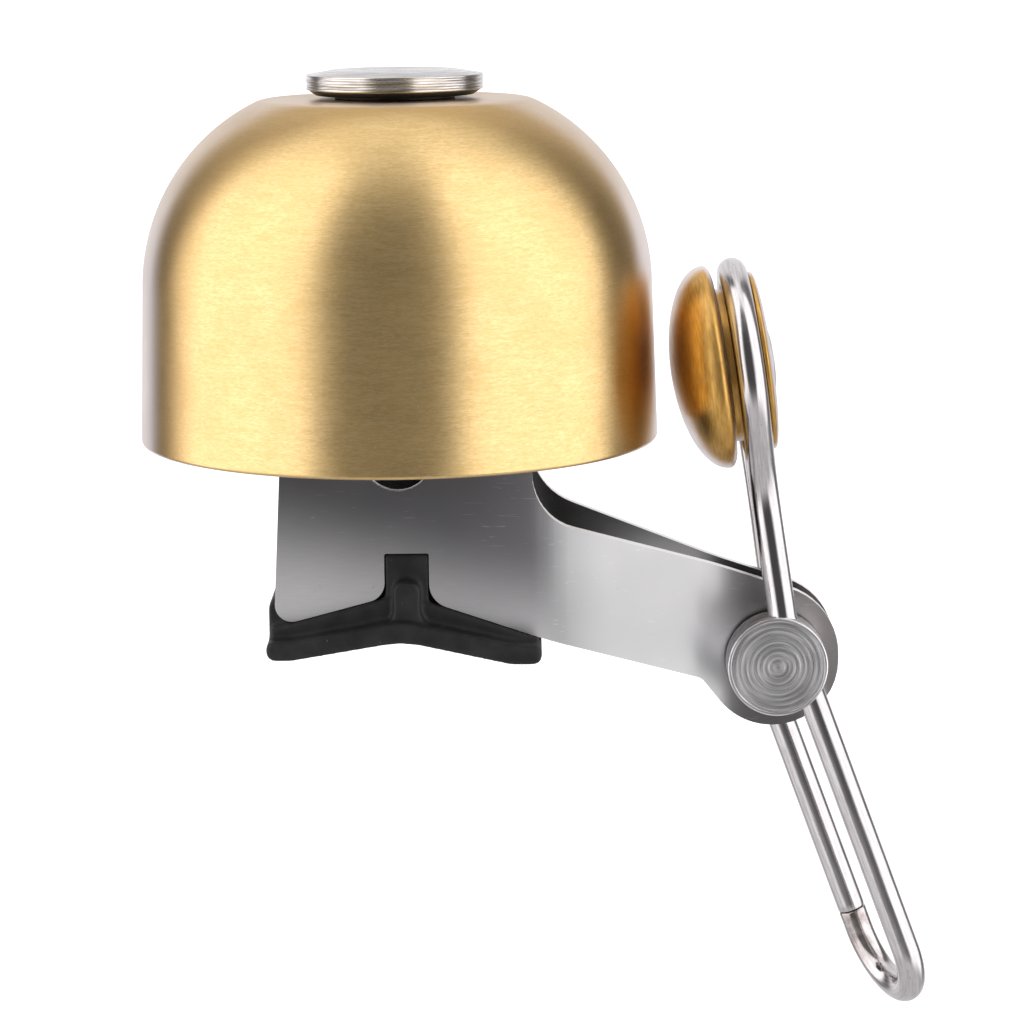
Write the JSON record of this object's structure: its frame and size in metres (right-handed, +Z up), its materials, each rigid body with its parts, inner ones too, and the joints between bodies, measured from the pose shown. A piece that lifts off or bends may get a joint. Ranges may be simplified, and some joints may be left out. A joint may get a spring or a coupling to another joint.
{
  "type": "bicycle bell",
  "caption": "Brass bicycle bell on a steel bracket with a rubber handlebar saddle and a sprung wire lever that carries a domed brass striker.",
  "frame": {"origin": "centre of the strap pin bore, midway between the bracket's two cheeks, on the bell's axis", "axes": "+Z up along the bell's axis to the cap, +X towards the hinge, +Y along the strap pin bore and the hinge pin"},
  "size_m": [0.0611, 0.04, 0.0746],
  "materials": {
    "bell_brass": "brushed",
    "striker_brass": "satin",
    "turned_steel": "turned",
    "sheet_steel": "satin",
    "wire_steel": "polished",
    "hidden_steel": "plain",
    "bush_bronze": "plain",
    "saddle_rubber": "matte",
    "washer_plastic": "matte"
  },
  "bodies": {
    "bell_body": {"bell_dome": "bell_brass", "top_cap": "turned_steel", "cap_washer": "washer_plastic", "inner_washer": "washer_plastic", "dome_post": "hidden_steel", "post_lock_washer": "hidden_steel", "post_nut": "hidden_steel", "bracket": "sheet_steel", "saddle_pad": "saddle_rubber", "pivot_bushes": "bush_bronze", "torsion_spring": "hidden_steel", "spring_anchor_pin": "hidden_steel"},
    "lever": {"hammer_wire": "wire_steel", "striker_head": "striker_brass", "striker_back": "striker_brass", "striker_rivet": "turned_steel", "pivot_pin": "turned_steel", "pivot_head_rear": "turned_steel", "pivot_washers": "washer_plastic", "spring_hub": "hidden_steel"}
  },
  "joints": [
    {"name": "hammer_swing", "type": "hinge", "parent": "bell_body", "child": "lever", "pos_m": [0.02905, 0, -0.01695], "axis": [0, 1, 0], "range_deg": [-2.5, 40], "stiffness_Nm_per_rad": 0.02, "deforming": ["torsion_spring"]}
  ]
}
